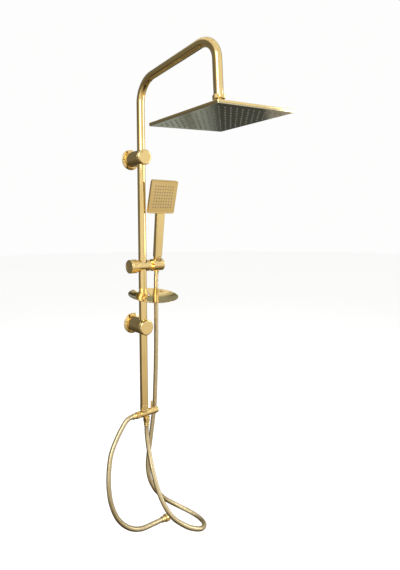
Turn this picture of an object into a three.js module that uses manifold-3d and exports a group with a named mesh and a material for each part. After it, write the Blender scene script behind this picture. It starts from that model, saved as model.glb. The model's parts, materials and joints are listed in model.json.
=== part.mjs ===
// Exposed rainfall shower column: riser rail on two wall brackets, gooseneck arm with a square
// head on a ball joint, sliding handset holder, soap dish, diverter and two flexible hoses.
// Millimetres, +Z up. The wall is the plane y = 0 and the column stands out along -Y.
import * as THREE from 'three';
import { mergeVertices } from 'three/addons/utils/BufferGeometryUtils.js';
import Module from 'manifold-3d';

const wasm = await Module();
wasm.setup();

// ---- driving dimensions -------------------------------------------------------------------
const gap = 0.3; // clearance left between touching pieces
const railRadius = 12.5;
const railBore = 11;
const railOut = 62.5; // rail axis to wall
const bracketSpacing = 526;
const flangeRadius = 32.5;
const flangeThickness = 5;
const flangeEdge = 2.4;
const barrelRadius = 24;
const barrelEnd = 80;
const capFront = 85;
const postRadius = 10;

const railBottom = -243;
const armHeight = 757; // arm's centreline, carried back to the rail's axis
const armSlope = 0.082; // radians upwards
const armReach = 340; // rail axis to the corner where arm and drop tube meet
const lowerBend = 70;
const upperBend = 60;
const dropLean = 0.046; // radians, foot of the drop tube outwards

const ballHeight = 604.5;
const ballRadius = 13;
const neckRadius = 6;
const linerRadius = 15;
const headSize = 250;
const headThickness = 8.5;
const headDrop = 32; // ball centre to the head's underside
const headRoll = 0.065; // radians, right-hand side up, as it is set on the ball

const sliderHeight = 190;
const knobEnd = -49;
const knobStart = -24.5;
const sliderRadius = 17.5;
const sliderHalf = 23;
const cradleStart = 33;
const cradleEnd = 73.5;
const cradleRadius = 19;
const cradleX = 55;
const handsetTilt = 7; // degrees, top outwards
const plateTilt = 8; // degrees more on the spray plate
const plateWidth = 100;
const plateHeight = 105;
const handleLength = 165; // holder's axis to the foot of the spray plate

const dishRadius = 75.8;
const dishDepth = 16;
const dishRim = 115;
const dishOut = 120;
const dishDroop = 8;
const collarDrop = 14;

const valveHeight = -272.5;
const valveRadius = 10;
const outletX = 8;

const hoseRadius = 7;

// ---- finishes -----------------------------------------------------------------------------
const finishes = {
  gold: { color: '#d9b25f', roughness: 0.12, metalness: 1 },
  paleGold: { color: '#d8c48a', roughness: 0.22, metalness: 1 },
  plastic: { color: '#3a3733', roughness: 0.5, metalness: 0 },
  silicone: { color: '#8c8a80', roughness: 0.6, metalness: 0 },
};

// ---- shape helpers ------------------------------------------------------------------------

// Welds a geometry's shared corners, drops collapsed triangles and turns its faces outwards.
function solid(geometry) {
  const bare = geometry.clone();
  bare.deleteAttribute('normal');
  bare.deleteAttribute('uv');
  const welded = mergeVertices(bare, 1e-4);
  const p = welded.attributes.position;
  const kept = [];
  let volume = 0;
  const [a, b, c] = [new THREE.Vector3(), new THREE.Vector3(), new THREE.Vector3()];
  for (let i = 0; i < welded.index.count; i += 3) {
    const tri = [0, 1, 2].map((k) => welded.index.getX(i + k));
    if (new Set(tri).size < 3) continue;
    kept.push(...tri);
    a.fromBufferAttribute(p, tri[0]);
    b.fromBufferAttribute(p, tri[1]);
    c.fromBufferAttribute(p, tri[2]);
    volume += a.dot(b.cross(c));
  }
  if (volume < 0) kept.reverse();
  return new wasm.Manifold(new wasm.Mesh({
    numProp: 3,
    vertProperties: new Float32Array(p.array),
    triVerts: new Uint32Array(kept),
  }));
}

function asGeometry(body) {
  const mesh = body.getMesh();
  const geometry = new THREE.BufferGeometry();
  const position = new THREE.BufferAttribute(new Float32Array(mesh.vertProperties), 3);
  geometry.setAttribute('position', position);
  geometry.setIndex(new THREE.BufferAttribute(new Uint32Array(mesh.triVerts), 1));
  return geometry;
}

// A profile of [radius, height] pairs turned about Z. It closes on itself, or ends on the axis.
function turned(profile, sides = 20) {
  const points = profile.map(([r, z]) => new THREE.Vector2(r, z));
  const onAxis = profile[0][0] === 0 && profile.at(-1)[0] === 0;
  if (!onAxis) points.push(points[0].clone());
  return solid(new THREE.LatheGeometry(points, sides).rotateX(Math.PI / 2));
}

// A rod along Z with small chamfers.
function rod(radius, low, high, chamfer = 0.5, sides = 20) {
  return turned([
    [0, low], [radius - chamfer, low], [radius, low + chamfer],
    [radius, high - chamfer], [radius - chamfer, high], [0, high],
  ], sides);
}

// A ring along Z with small outer chamfers.
function ring(radius, bore, low, high, chamfer = 0.5, sides = 20) {
  return turned([
    [bore, low], [radius - chamfer, low], [radius, low + chamfer],
    [radius, high - chamfer], [radius - chamfer, high], [bore, high],
  ], sides);
}

function hexRod(radius, low, high) {
  return turned([[0, low], [radius, low], [radius, high], [0, high]], 6);
}

function box(width, depth, height, x = 0, y = 0, z = 0) {
  return solid(new THREE.BoxGeometry(width, depth, height).translate(x, y, z));
}

function outline(width, height, corner) {
  const [w, h] = [width / 2, height / 2];
  const shape = new THREE.Shape();
  shape.moveTo(-w + corner, -h);
  shape.lineTo(w - corner, -h);
  shape.absarc(w - corner, -h + corner, corner, -Math.PI / 2, 0);
  shape.lineTo(w, h - corner);
  shape.absarc(w - corner, h - corner, corner, 0, Math.PI / 2);
  shape.lineTo(-w + corner, h);
  shape.absarc(-w + corner, h - corner, corner, Math.PI / 2, Math.PI);
  shape.lineTo(-w, -h + corner);
  shape.absarc(-w + corner, -h + corner, corner, Math.PI, Math.PI * 1.5);
  return shape;
}

// A plate with rounded corners, lying in XY and rising from z = low by its thickness.
function plate(width, height, thickness, low, corner) {
  const options = { depth: thickness, bevelEnabled: false, curveSegments: 4 };
  const geometry = new THREE.ExtrudeGeometry(outline(width, height, corner), options);
  return solid(geometry.translate(0, 0, low));
}

function circle(radius, sides) {
  const points = [];
  for (let i = 0; i < sides; i += 1) {
    const angle = (i / sides) * Math.PI * 2;
    points.push(new THREE.Vector2(radius * Math.cos(angle), radius * Math.sin(angle)));
  }
  return points;
}

function swept(path, radius, bore, sides, steps) {
  const shape = new THREE.Shape(circle(radius, sides));
  if (bore > 0) shape.holes.push(new THREE.Path(circle(bore, sides)));
  return solid(new THREE.ExtrudeGeometry(shape, { steps, extrudePath: path }));
}

// The same body turned by whole degrees about X, Y and Z.
const turnBody = (body, x, y, z) => body.rotate([x, y, z]);
const alongX = (body) => turnBody(body, 0, 90, 0);

function add(parent, name, body, finish = 'gold') {
  const mesh = new THREE.Mesh(asGeometry(body), new THREE.MeshStandardMaterial(finishes[finish]));
  mesh.name = name;
  parent.add(mesh);
  return mesh;
}

// ---- the object ---------------------------------------------------------------------------
const column = new THREE.Group();

// Local Z runs out from the wall and local Y is up.
function wallBracket(label, height) {
  const bracket = new THREE.Group();
  bracket.position.z = height;
  bracket.rotation.x = Math.PI / 2;
  column.add(bracket);

  add(bracket, `${label}_wall_flange`, turned([
    [0, 0], [flangeRadius, 0], [flangeRadius, flangeEdge], [barrelRadius + 1, flangeThickness],
    [0, flangeThickness],
  ], 28));

  const start = flangeThickness + gap;
  const postEnd = 45;
  add(bracket, `${label}_wall_post`, rod(postRadius, start, postEnd));

  const screwOut = 25;
  const railHole = turnBody(rod(railRadius + gap, -40, 40, 0), 90, 0, 0);
  const screwHole = turnBody(rod(2.8, 0, 40, 0, 12), 90, 0, 0);
  const barrel = ring(barrelRadius, postRadius + gap, start, barrelEnd - 4, 0.8, 24)
    .add(rod(barrelRadius, postEnd + 1, barrelEnd, 0.8, 24))
    .subtract(railHole.translate([0, 0, railOut]))
    .subtract(screwHole.translate([0, 0, screwOut]));
  add(bracket, `${label}_bracket_barrel`, barrel);

  const screw = turnBody(rod(2.5, postRadius + 2 * gap, barrelRadius - 1, 0.3, 12), 90, 0, 0);
  add(bracket, `${label}_set_screw`, screw.translate([0, 0, screwOut]));

  add(bracket, `${label}_front_cap`, turned([
    [0, barrelEnd + gap], [barrelRadius, barrelEnd + gap], [barrelRadius, capFront - 2],
    [barrelRadius - 2, capFront], [0, capFront],
  ], 24));
}

wallBracket('lower', 0);
wallBracket('upper', bracketSpacing);

// Riser rail, in two lengths joined by a sleeve inside the upper bracket.
const rail = new THREE.Group();
rail.position.y = -railOut;
column.add(rail);
add(rail, 'riser_rail', ring(railRadius, railBore, railBottom, bracketSpacing - gap / 2));
add(rail, 'rail_joint_sleeve', ring(railBore - gap, 8.5, bracketSpacing - 30, bracketSpacing + 30));

// The gooseneck's centreline in the plane x = 0: straight, bend, straight, bend, straight.
class GooseneckPath extends THREE.Curve {
  constructor() {
    super();
    const firstTurn = Math.PI / 2 - armSlope;
    const secondTurn = Math.PI / 2 + armSlope - dropLean;
    const firstTangent = lowerBend * Math.tan(firstTurn / 2);
    const secondTangent = upperBend * Math.tan(secondTurn / 2);
    const cornerHeight = armHeight + armReach * Math.tan(armSlope);
    const stemTop = ballHeight + 28 + gap;
    const rise = armHeight - firstTangent - bracketSpacing - gap / 2;
    const run = armReach / Math.cos(armSlope) - firstTangent - secondTangent;
    const drop = (cornerHeight - stemTop) / Math.cos(dropLean) - secondTangent;
    this.pieces = [
      { length: rise, turn: 0 },
      { length: lowerBend * firstTurn, turn: firstTurn },
      { length: run, turn: 0 },
      { length: upperBend * secondTurn, turn: secondTurn },
      { length: drop, turn: 0 },
    ];
    this.total = this.pieces.reduce((sum, piece) => sum + piece.length, 0);
  }

  getPoint(t) {
    let left = t * this.total;
    let heading = 0; // 0 is up, a quarter turn is straight out from the wall
    let [out, up] = [railOut, bracketSpacing + gap / 2];
    for (const { length, turn } of this.pieces) {
      const part = Math.min(left, length);
      if (turn === 0) {
        out += part * Math.sin(heading);
        up += part * Math.cos(heading);
      } else {
        const radius = length / turn;
        const next = heading + part / radius;
        out += radius * (Math.cos(heading) - Math.cos(next));
        up += radius * (Math.sin(next) - Math.sin(heading));
        heading = next;
      }
      left -= part;
    }
    return new THREE.Vector3(0, -out, up);
  }
}

add(column, 'gooseneck_arm', swept(new GooseneckPath(), railRadius, railBore, 16, 32));

// Ball joint. Local Z runs up the drop tube from the ball's centre.
const ballOut = railOut + armReach
  + (armHeight + armReach * Math.tan(armSlope) - ballHeight) * Math.tan(dropLean);
const joint = new THREE.Group();
joint.position.set(0, -ballOut, ballHeight);
joint.rotation.x = -dropLean;
column.add(joint);

function arc(radius, from, to, steps) {
  const points = [];
  for (let i = 0; i <= steps; i += 1) {
    const angle = THREE.MathUtils.degToRad(from + ((to - from) * i) / steps);
    points.push([radius * Math.cos(angle), radius * Math.sin(angle)]);
  }
  return points;
}

const stemFoot = 18;
const neckAngle = THREE.MathUtils.radToDeg(Math.acos(neckRadius / ballRadius));
add(joint, 'ball_stem', turned([
  [0, -ballRadius], ...arc(ballRadius, -75, neckAngle, 6), [neckRadius, stemFoot],
  [railBore - 1, stemFoot], [railBore - 1, 45], [0, 45],
]));
const nutBody = hexRod(17, stemFoot, stemFoot + 10).intersect(rod(16.2, stemFoot, stemFoot + 10, 1));
add(joint, 'stem_nut', nutBody.subtract(rod(railBore - 1 + gap, 0, 60, 0)));

// Shower head. Local Z is the head's own upright through the ball's centre.
const head = new THREE.Group();
head.position.set(0, -ballOut, ballHeight);
head.rotation.y = -headRoll;
column.add(head);

const linerBand = [...arc(linerRadius, -32, 15, 4), ...arc(ballRadius + gap, 15, -32, 4)];
add(head, 'ball_liner', turned(linerBand, 20), 'plastic');

const shellTop = -headDrop + headThickness;
const socketRadius = linerRadius + gap;
add(head, 'head_boss', turned([
  [0, shellTop + gap], [24, shellTop + gap], [24, shellTop + 2], [19, shellTop + 4],
  [19, -0.5], ...arc(socketRadius, -2, -75, 6), [0, -socketRadius],
], 20));
add(head, 'ball_retaining_ring', turned([
  [19 + gap, -8], [21, -8], [21, 7], [17, 11.5], [11, 11.5], ...arc(socketRadius, 40, 1, 5),
  [19 + gap, gap],
], 20));

const facePlate = 2.7;
const shellPocket = plate(headSize - 10, headSize - 10, 4, -headDrop + facePlate, 2);
const shell = plate(headSize, headSize, headThickness - facePlate - gap, facePlate + gap - headDrop, 3);
add(head, 'head_back_shell', shell.subtract(shellPocket.translate([0, 0, -0.5])));
add(head, 'head_face_plate', plate(headSize, headSize, facePlate, -headDrop, 3));
const matLow = -headDrop + facePlate + 0.5;
add(head, 'head_nozzle_mat', plate(headSize - 14, headSize - 14, 1.5, matLow, 2), 'silicone');

// Sliding holder. Local X runs along its barrel and local Z up the rail.
const slider = new THREE.Group();
slider.position.set(0, -railOut, sliderHeight);
column.add(slider);

const screwRadius = 5;
const bushRadius = 14.5;
const bushHalf = 9;
const sliderBody = alongX(rod(sliderRadius, -sliderHalf, sliderHalf, 0.6, 24))
  .subtract(rod(bushRadius + gap, -40, 40, 0))
  .subtract(alongX(rod(screwRadius + gap, -40, 0, 0)))
  .subtract(alongX(rod(6 + gap, 0, 40, 0)));
add(slider, 'slider_body', sliderBody);
add(slider, 'slider_bush', ring(bushRadius, railRadius + gap, -bushHalf, bushHalf, 0.3), 'plastic');
const knob = alongX(rod(21, knobEnd, knobStart, 1.2, 24));
const screwEnd = -bushRadius - 2 * gap;
add(slider, 'slider_knob', knob.subtract(alongX(rod(screwRadius + gap, -41, 0, 0))));
add(slider, 'slider_knob_screw', alongX(rod(screwRadius, -40.5, screwEnd)));

add(slider, 'cradle_pivot', alongX(turned([
  [0, bushRadius + 1], [6, bushRadius + 1], [6, sliderHalf + gap], [12, sliderHalf + gap],
  [12, cradleStart - gap], [6, cradleStart - gap], [6, 39], [0, 39],
])));

const cradle = new THREE.Group();
cradle.position.x = cradleX;
cradle.rotation.x = THREE.MathUtils.degToRad(handsetTilt);
slider.add(cradle);

const coneHole = turned([[0, -30], [10.9, -30], [14.9, 30], [0, 30]]);
const cradleBarrel = alongX(rod(cradleRadius, cradleStart - cradleX, cradleEnd - cradleX, 1, 24))
  .subtract(coneHole)
  .subtract(alongX(rod(6 + gap, -30, 0, 0)));
add(cradle, 'cradle', cradleBarrel);
add(cradle, 'cradle_insert', turned([
  [10, -13], [11.7, -13], [13.4, 13], [11.8, 13],
]), 'plastic');

// Handset, in the cradle's frame. Its foot is the hose's conical nut.
add(cradle, 'hose_cone_nut', turned([
  [0, -22], [9, -22], [9.6, -13], [11.2, 13], [12.5, 24], [12.5, 26], [0, 26],
]));

const handleFoot = 26 + gap;
const handle = new THREE.BufferGeometry();
{
  const corners = [];
  for (const [z, halfWidth, halfDepth] of [[handleFoot, 12.7, 9], [handleLength - 1, 15, 8.2]]) {
    for (const { x, y } of outline(2 * halfWidth, 2 * halfDepth, 3).getPoints(3).slice(0, -1)) {
      corners.push(x, y, z);
    }
  }
  const count = corners.length / 6;
  const faces = [];
  for (let i = 0; i < count; i += 1) {
    const next = (i + 1) % count;
    faces.push(i, next, next + count, i, next + count, i + count);
    if (i > 0 && i < count - 1) faces.push(0, i + 1, i, count, i + count, i + 1 + count);
  }
  handle.setAttribute('position', new THREE.Float32BufferAttribute(corners, 3));
  handle.setIndex(faces);
}

// A plate standing up in the spray plate's own frame, from y = front to y = front + depth.
function upright(width, height, front, depth, foot, corner) {
  return turnBody(plate(width, height, depth, 0, corner), 90, 0, 0)
    .translate([0, front + depth, foot + height / 2]);
}

const sprayFoot = new THREE.Vector3(0, 0, handleLength);
const sprayShell = upright(plateWidth, plateHeight, -3.5, 8, 0, 6)
  .add(box(28, 8, 12, 0, 0.5, 2))
  .subtract(upright(plateWidth - 10, plateHeight - 10, -4, 5, 5, 3));
const handsetBody = solid(handle)
  .add(turnBody(sprayShell, plateTilt, 0, 0).translate(sprayFoot.toArray()));
add(cradle, 'handset_body', handsetBody);

const spray = new THREE.Group();
spray.position.copy(sprayFoot);
spray.rotation.x = THREE.MathUtils.degToRad(plateTilt);
cradle.add(spray);
add(spray, 'handset_face_plate', upright(plateWidth, plateHeight, -5.8, 2, 0, 6));
const sprayMat = upright(plateWidth - 14, plateHeight - 14, -3.4, 1.5, 7, 3);
add(spray, 'handset_nozzle_mat', sprayMat, 'silicone');

// Soap dish: a shallow bowl with a notch behind for the rail and its clamp collar.
// It hangs down a little from the collar, so its outer edge is the lower one.
const dish = new THREE.Group();
dish.position.set(0, -dishOut, dishRim);
column.add(dish);

function bowlLine(offset, steps) {
  const points = [];
  for (let i = 0; i <= steps; i += 1) {
    const r = (dishRadius * i) / steps;
    points.push([r, offset - dishDepth * (1 - (r / dishRadius) ** 2)]);
  }
  return points;
}

const notch = new THREE.Shape([
  [-10, 33], [10, 33], [24, 72], [24, 90], [-24, 90], [-24, 72],
].map(([x, y]) => new THREE.Vector2(x, y)));
const notchBody = solid(new THREE.ExtrudeGeometry(notch, { depth: 60, bevelEnabled: false }));
const bowl = turned([...bowlLine(-1.6, 5), ...bowlLine(0, 5).reverse()], 36);
const collarY = dishOut - railOut;
const notched = bowl.subtract(notchBody.translate([0, 0, -40]));
const drooping = turnBody(notched.translate([0, -collarY, 0]), dishDroop, 0, 0);
add(dish, 'soap_dish', drooping.translate([0, collarY, 0]));

const clampHole = turnBody(rod(3 + gap, 0, 40, 0, 16), -90, 0, 0);
const lug = box(12, 9, 9, 0, -17, 0);
const collar = ring(17, railRadius - 2, -9, 7).add(lug)
  .subtract(rod(railRadius + gap, -20, 20, 0))
  .subtract(clampHole);
add(dish, 'dish_clamp_collar', collar.translate([0, collarY, -collarDrop]));
const clampScrew = turnBody(rod(3, railRadius + 2 * gap, 24, 0.4, 16), -90, 0, 0);
add(dish, 'dish_clamp_screw', clampScrew.translate([0, collarY, -collarDrop]));

// Diverter at the rail's foot. Local X runs along its barrel.
const valve = new THREE.Group();
valve.position.set(0, -railOut, valveHeight);
column.add(valve);

const spigotTop = railBottom - valveHeight + 18;
const unionFoot = valveRadius + 0.8;
const bodyEnd = 20;
const valveBody = alongX(rod(valveRadius, -14, bodyEnd, 0.5))
  .add(alongX(rod(8, -24, 0, 0.5)))
  .add(rod(9.5, 0, spigotTop, 0.5))
  .add(rod(8, -20, 0, 0.5).translate([outletX, 0, 0]))
  .subtract(alongX(rod(5 + gap, 4, 40, 0, 20)));
add(valve, 'diverter_body', valveBody);
const unionTop = railBottom - valveHeight - gap;
add(valve, 'rail_union', ring(railRadius + 0.4, 9.5 + gap, unionFoot, unionTop, 0.8));

const pinX = 28;
add(valve, 'diverter_spindle', alongX(rod(5, 4.5, 44, 0.5, 20)));
const pinHole = rod(3 + gap, 6, 30, 0, 16).translate([pinX, 0, 0]);
const turnKnob = alongX(ring(valveRadius, 5 + gap, bodyEnd + gap, 38, 0.6));
add(valve, 'diverter_knob', turnKnob.subtract(pinHole));
add(valve, 'diverter_lever', rod(3, 6 + gap, 31, 0.8, 16).translate([pinX, 0, 0]));
const endCap = alongX(turned([
  [0, 38 + gap], [valveRadius, 38 + gap], [valveRadius, 48], [valveRadius - 3, 51], [0, 51],
]));
add(valve, 'diverter_end_cap', endCap.subtract(alongX(rod(5 + gap, 30, 44.5, 0, 20))));

// A hose's swivel nut and crimped ferrule, along +Z from z = 0, which is the nut's open end.
function hoseEnd(parent, label, x, turn) {
  const nut = hexRod(11.6, 0, 13).intersect(rod(10.8, 0, 13, 1)).subtract(rod(8 + gap, -1, 7, 0));
  add(parent, `${label}_nut`, turn(nut).translate(x));
  add(parent, `${label}_ferrule`, turn(rod(8.7, 13 + gap, 27, 0.8, 16)).translate(x));
}

const intoLeft = (body) => turnBody(body, 0, -90, 0);
const downwards = (body) => turnBody(body, 180, 0, 0);
hoseEnd(valve, 'inlet_hose_valve', [-17, 0, 0], intoLeft);
hoseEnd(valve, 'handset_hose_valve', [outletX, 0, -13.5], downwards);

// ---- hoses --------------------------------------------------------------------------------
const hosePath = (points) => new THREE.CatmullRomCurve3(points.map((p) => new THREE.Vector3(...p)));

const handsetRoute = [
  [55, -59.8, 167.8], [55, -57.1, 146], [56, -55, 108], [58, -51, 42], [60, -47, -24],
  [61, -42, -123], [60, -38, -205], [58, -35, -272], [52, -32, -325], [44, -29, -385],
  [38, -27, -428], [36, -25, -472], [43, -27, -516], [62, -27, -554], [89, -19, -588],
  [121, -12, -622], [162, -18, -655], [191, -46, -672], [201, -85, -676], [188, -127, -668],
  [152, -153, -653], [109, -153, -632], [74, -145, -606], [47, -140, -578], [27, -131, -543],
  [14, -116, -500], [8, -97, -449], [8, -76, -395], [8, -65, -350], [8, -62.5, -328],
  [8, -62.5, -313.5],
];
const handsetPath = hosePath(handsetRoute);
handsetPath.arcLengthDivisions = 2000;

// A stretch of a curve, between two shares of its length.
class Stretch extends THREE.Curve {
  constructor(whole, from, to) {
    super();
    Object.assign(this, { whole, from, to });
  }

  getPoint(t) {
    return this.whole.getPointAt(this.from + (this.to - this.from) * t);
  }
}

// The top follows the holder as it tilts, so it is a length of its own.
const topShare = 0.08;
const jointShare = gap / handsetPath.getLength();
const hoseTop = new Stretch(handsetPath, 0, topShare);
const hoseRest = new Stretch(handsetPath, topShare + jointShare, 1);
add(column, 'handset_hose_top', swept(hoseTop, hoseRadius, 0, 8, 4), 'paleGold');
add(column, 'handset_hose', swept(hoseRest, hoseRadius, 0, 8, 46), 'paleGold');

const inletRoute = [
  [-44.5, -62.5, -272.5], [-53, -62.5, -272.5], [-66, -63.5, -278], [-86, -66.5, -297],
  [-106, -70, -322], [-127, -76, -355], [-139, -83, -402], [-142, -88, -445], [-135, -90, -494],
  [-111, -89, -549], [-72, -86, -591], [-30, -82, -614], [20, -77, -623], [54, -74, -627],
];
add(column, 'inlet_hose', swept(hosePath(inletRoute), hoseRadius, 0, 8, 28), 'paleGold');

// The free end's fitting points the way the hose arrives.
const tail = new THREE.Group();
tail.position.set(...inletRoute.at(-1));
const arrival = new THREE.Vector3(...inletRoute.at(-1)).sub(new THREE.Vector3(...inletRoute.at(-2)));
tail.quaternion.setFromUnitVectors(new THREE.Vector3(0, 0, 1), arrival.normalize());
column.add(tail);
add(tail, 'inlet_hose_end_ferrule', rod(8.7, gap, 14, 0.8, 16));
const endNut = hexRod(12.6, 14 + gap, 29).intersect(rod(11.8, 14 + gap, 29, 1));
add(tail, 'inlet_hose_end_nut', endNut.subtract(rod(9, 20, 40, 0, 16)));

export default column;
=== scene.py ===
import json
import math

import bpy
import numpy as np
from mathutils import Matrix, Vector


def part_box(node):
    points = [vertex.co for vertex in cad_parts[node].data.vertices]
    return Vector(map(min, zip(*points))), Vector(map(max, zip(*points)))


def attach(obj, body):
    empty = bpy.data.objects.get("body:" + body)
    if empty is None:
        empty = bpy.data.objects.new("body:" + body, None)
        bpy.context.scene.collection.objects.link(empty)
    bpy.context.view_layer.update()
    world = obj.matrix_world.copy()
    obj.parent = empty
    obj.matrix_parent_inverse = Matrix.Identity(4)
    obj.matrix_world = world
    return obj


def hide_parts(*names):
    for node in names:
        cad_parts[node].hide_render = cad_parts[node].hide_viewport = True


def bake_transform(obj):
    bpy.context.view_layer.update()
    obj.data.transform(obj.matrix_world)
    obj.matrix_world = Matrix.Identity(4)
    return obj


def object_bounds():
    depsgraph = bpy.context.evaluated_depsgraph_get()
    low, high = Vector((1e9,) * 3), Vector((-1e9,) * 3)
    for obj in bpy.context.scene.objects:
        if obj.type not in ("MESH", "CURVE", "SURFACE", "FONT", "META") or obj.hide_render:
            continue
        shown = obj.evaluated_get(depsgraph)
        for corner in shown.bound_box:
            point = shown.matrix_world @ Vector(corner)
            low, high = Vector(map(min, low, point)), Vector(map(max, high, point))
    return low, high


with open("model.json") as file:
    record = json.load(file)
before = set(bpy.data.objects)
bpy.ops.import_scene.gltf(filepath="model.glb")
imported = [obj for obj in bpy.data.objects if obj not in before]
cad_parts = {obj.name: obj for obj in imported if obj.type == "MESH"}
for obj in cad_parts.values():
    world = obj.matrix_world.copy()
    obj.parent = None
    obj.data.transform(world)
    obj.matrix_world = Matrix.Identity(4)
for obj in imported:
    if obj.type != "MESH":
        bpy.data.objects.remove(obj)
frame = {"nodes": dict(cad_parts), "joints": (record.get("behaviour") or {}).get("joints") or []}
cadBox = [list(corner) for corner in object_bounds()]
joints = {joint["name"]: joint for joint in frame["joints"]}
mm = 0.001
print("frame loaded with", len(frame["nodes"]), "parts")

# ---- camera ----

eye = {
    "place": (-0.72135, -1.16038, 0.32112),
    "yaw": 0.640,      # radians to the right of straight at the wall
    "pitch": 0.0152,   # radians downwards
    "roll": -0.0113,
    "lens": 26.62,
    "shift": (0.0582, -0.0969),
}


def placed(name, data):
    made = bpy.data.objects.new(name, data)
    bpy.context.scene.collection.objects.link(made)
    return made


def aimCamera():
    yaw, pitch, roll = eye["yaw"], eye["pitch"], eye["roll"]
    ahead = Vector((math.sin(yaw) * math.cos(pitch), math.cos(yaw) * math.cos(pitch), -math.sin(pitch)))
    level = Vector((math.cos(yaw), -math.sin(yaw), 0))
    upright = level.cross(ahead)
    right = level * math.cos(roll) + upright * math.sin(roll)
    up = upright * math.cos(roll) - level * math.sin(roll)
    data = bpy.data.cameras.new("eye")
    data.lens = eye["lens"]
    data.sensor_width = 36
    data.shift_x, data.shift_y = eye["shift"]
    data.clip_start, data.clip_end = 0.05, 60
    camera = placed("eye", data)
    facing = Matrix((right, up, -ahead)).transposed().to_4x4()
    camera.matrix_world = Matrix.Translation(eye["place"]) @ facing
    bpy.context.scene.camera = camera


aimCamera()
print("camera aimed")

# ---- mesh helpers: every shape is worked out in millimetres and laid down in metres ----


def shift(x, y, z):
    return np.array(Matrix.Translation((x, y, z)))


def turn(axis, degrees):
    return np.array(Matrix.Rotation(math.radians(degrees), 4, axis))


def middle(node):
    # centre of a part's box, in millimetres
    low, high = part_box(node)
    return (np.array(low) + np.array(high)) / 2 / mm


def laid(points, place):
    # points in a local frame, carried to where that frame stands
    return points @ place[:3, :3].T + place[:3, 3]


def softened(corners, radius, closed=False, steps=5):
    # Each corner of the line becomes a quadratic arc from a point before it to a point after it.
    # One more point on each side keeps the straight stretches truly straight when shaded.
    line = np.asarray(corners, float)
    back = np.roll(line, 1, 0) - line
    on = np.roll(line, -1, 0) - line
    backLong = np.linalg.norm(back, axis=1, keepdims=True) + 1e-9
    onLong = np.linalg.norm(on, axis=1, keepdims=True) + 1e-9
    size = np.broadcast_to(np.asarray(radius, float), (len(line),))[:, None]
    reach = np.minimum(size, 0.36 * np.minimum(backLong, onLong))
    start, end = line + back / backLong * reach, line + on / onLong * reach
    t = np.linspace(0, 1, steps)[None, :, None]
    arc = (1 - t) ** 2 * start[:, None] + 2 * t * (1 - t) * line[:, None] + t ** 2 * end[:, None]
    before = (line + back / backLong * reach * 1.35)[:, None]
    after = (line + on / onLong * reach * 1.35)[:, None]
    out = np.concatenate([before, arc, after], axis=1)
    if closed:
        return out.reshape(-1, line.shape[1])
    inner = out[1:-1].reshape(-1, line.shape[1])
    return np.vstack([line[:1], inner, line[-1:]])


def arcPoints(radius, fromDegrees, toDegrees, steps=14):
    # points on a circle about the frame's origin, as (radius from the axis, height)
    angle = np.radians(np.linspace(fromDegrees, toDegrees, steps))
    return np.stack([radius * np.cos(angle), radius * np.sin(angle)], axis=1)


def turned(profile, place, sides=72, reshape=None):
    # A profile of (radius, height) points carried round the frame's own Z:
    # x = radius cos a, y = radius sin a, z = height. reshape gives the radius at each angle.
    profile = np.asarray(profile, float)
    angle = np.arange(sides) * 2 * np.pi / sides
    radius, height = profile[:, :1] + 0 * angle, profile[:, 1:2] + 0 * angle
    if reshape is not None:
        radius = reshape(radius, height, angle[None, :])
    local = np.stack([radius * np.cos(angle), radius * np.sin(angle), height], axis=-1)
    return laid(local, place)


def hexagon(corner):
    # radius of a hexagon at each angle, never more than the turned radius there
    flat = corner * math.cos(math.pi / 6)

    def limit(radius, height, angle):
        off = np.mod(angle, math.pi / 3) - math.pi / 6
        return np.minimum(radius, flat / np.cos(off))

    return limit


def outline(halfWidth, halfHeight, corner, perCorner=7):
    # Rounded rectangle, one row of points for each entry of the inputs: four quarter circles,
    # with a point on the straight just before and just after each of them.
    sizes = (halfWidth, halfHeight, corner)
    halfWidth, halfHeight, corner = [np.asarray(v, float).reshape(-1, 1) for v in sizes]
    angle = np.linspace(0, np.pi / 2, perCorner)
    lead = 0.5 * corner
    rows = []
    for quarter, (sx, sy) in enumerate([(1, 1), (-1, 1), (-1, -1), (1, -1)]):
        a = angle + quarter * np.pi / 2
        cx, cy = sx * (halfWidth - corner), sy * (halfHeight - corner)
        x, y = cx + corner * np.cos(a), cy + corner * np.sin(a)
        firstX, firstY = x[:, :1] + lead * np.sin(a[0]), y[:, :1] - lead * np.cos(a[0])
        lastX, lastY = x[:, -1:] - lead * np.sin(a[-1]), y[:, -1:] + lead * np.cos(a[-1])
        rows.append(np.stack([np.hstack([firstX, x, lastX]), np.hstack([firstY, y, lastY])], axis=-1))
    return np.concatenate(rows, axis=1)


def slab(width, height, corner, profile, place):
    # Each profile point (inset, height) draws the outline pulled in by its inset, and a point in the
    # middle closes either end.
    profile = np.asarray(profile, float)
    inset, level = profile[:, 0], profile[:, 1]
    ring = outline(width / 2 - inset, height / 2 - inset, np.maximum(corner - inset, 0.3))
    rows = np.concatenate([ring, np.broadcast_to(level[:, None, None], ring.shape[:2] + (1,))], axis=-1)
    low, high = rows[:1] * [0, 0, 1], rows[-1:] * [0, 0, 1]
    return laid(np.concatenate([low, rows, high]), place)


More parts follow.
